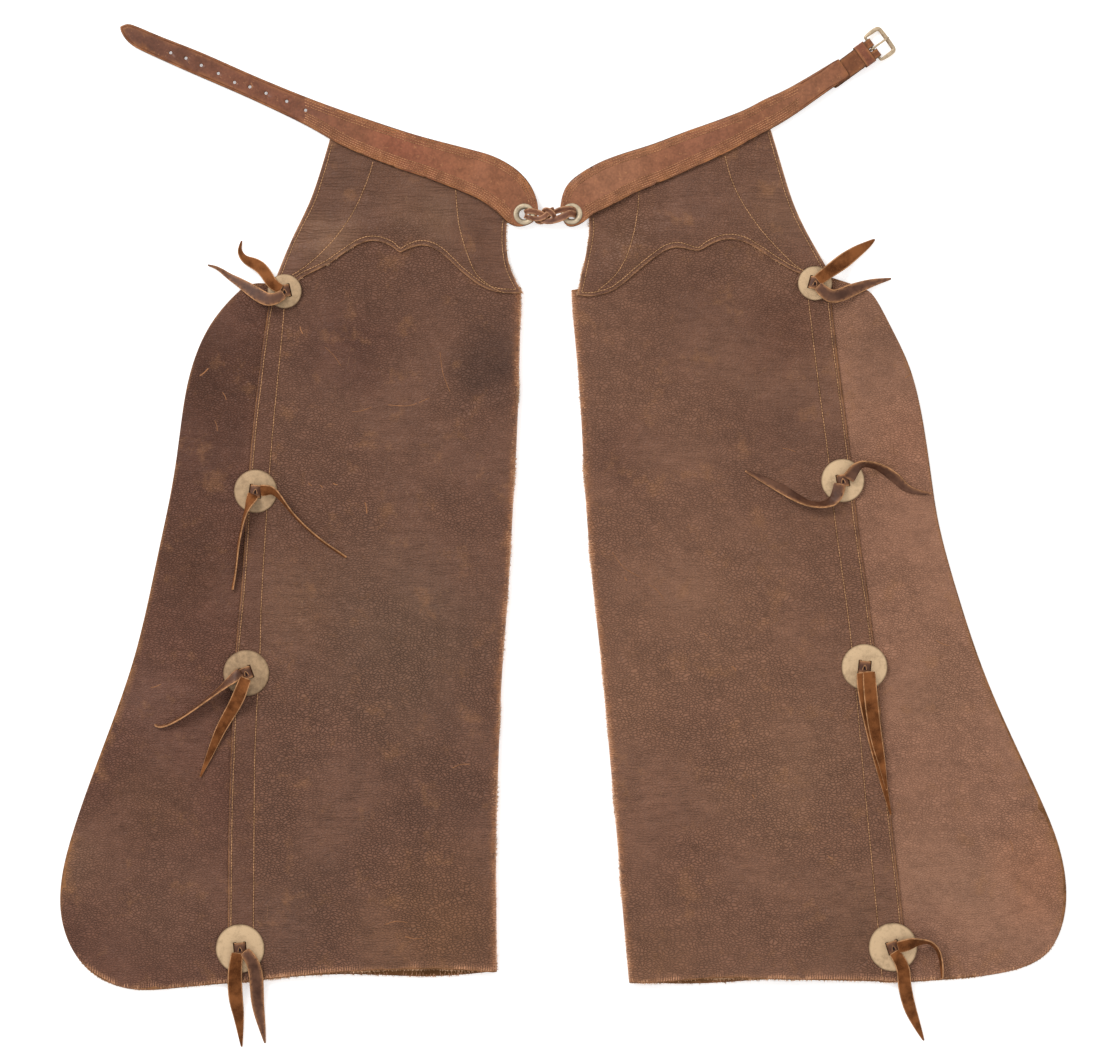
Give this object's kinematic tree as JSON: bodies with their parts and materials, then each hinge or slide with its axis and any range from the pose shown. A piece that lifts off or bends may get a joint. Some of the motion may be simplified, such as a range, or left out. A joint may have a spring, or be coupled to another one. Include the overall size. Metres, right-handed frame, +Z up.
{
  "type": "leather chaps",
  "caption": "Batwing leather chaps laid flat: folded leg panels, lapped wings, scalloped yokes, concho ties and a laced belt with strap and buckle.",
  "frame": {"origin": "middle of the part's outline on the surface it lies on", "axes": "+Z up out of the surface, +Y from the hems towards the belt, +X towards the buckle side"},
  "size_m": [1.1201, 1.1371, 0.0227],
  "materials": {
    "leg_leather": "oiled pebbled cowhide, dry matt",
    "wing_leather": "oiled pebbled cowhide, dry matt",
    "yoke_leather": "oiled pebbled cowhide, dry matt",
    "belt_leather": "smooth tooled and stitched strap leather, satin",
    "thong_leather": "latigo thong, suede flesh side",
    "pale_brass": "aged nickel over brass",
    "buckle_metal": "aged plated wire"
  },
  "bodies": {
    "chaps": {"belt_left": "belt_leather", "yoke_left": "yoke_leather", "leg_left": "leg_leather", "wing_left": "wing_leather", "grommet_left": "pale_brass", "concho_left_1": "pale_brass", "thong_left_1_band": "thong_leather", "thong_left_1_end_a": "thong_leather", "thong_left_1_end_b": "thong_leather", "concho_left_2": "pale_brass", "thong_left_2_band": "thong_leather", "thong_left_2_end_a": "thong_leather", "thong_left_2_end_b": "thong_leather", "concho_left_3": "pale_brass", "thong_left_3_band": "thong_leather", "thong_left_3_end_a": "thong_leather", "thong_left_3_end_b": "thong_leather", "concho_left_4": "pale_brass", "thong_left_4_band": "thong_leather", "thong_left_4_end_a": "thong_leather", "thong_left_4_end_b": "thong_leather", "belt_right": "belt_leather", "yoke_right": "yoke_leather", "leg_right": "leg_leather", "wing_right": "wing_leather", "grommet_right": "pale_brass", "concho_right_1": "pale_brass", "thong_right_1_band": "thong_leather", "thong_right_1_end_a": "thong_leather", "thong_right_1_end_b": "thong_leather", "concho_right_2": "pale_brass", "thong_right_2_band": "thong_leather", "thong_right_2_end_a": "thong_leather", "thong_right_2_end_b": "thong_leather", "concho_right_3": "pale_brass", "thong_right_3_band": "thong_leather", "thong_right_3_end_a": "thong_leather", "thong_right_3_end_b": "thong_leather", "concho_right_4": "pale_brass", "thong_right_4_band": "thong_leather", "thong_right_4_end_a": "thong_leather", "thong_right_4_end_b": "thong_leather", "belt_lacing": "thong_leather", "buckle_chape": "belt_leather", "buckle_keeper": "belt_leather"},
    "frame": {"buckle_frame": "buckle_metal"},
    "tongue": {"buckle_tongue": "buckle_metal"}
  },
  "joints": [
    {"name": "frame_swing", "type": "hinge", "parent": "chaps", "child": "frame", "pos_m": [0.3442, 0.5402, 0.0053], "axis": [0.5864, -0.81, 0], "range_deg": [0, 50]},
    {"name": "tongue_swing", "type": "hinge", "parent": "frame", "child": "tongue", "pos_m": [0.3442, 0.5402, 0.0053], "axis": [0.5864, -0.81, 0], "range_deg": [0, 44]}
  ]
}
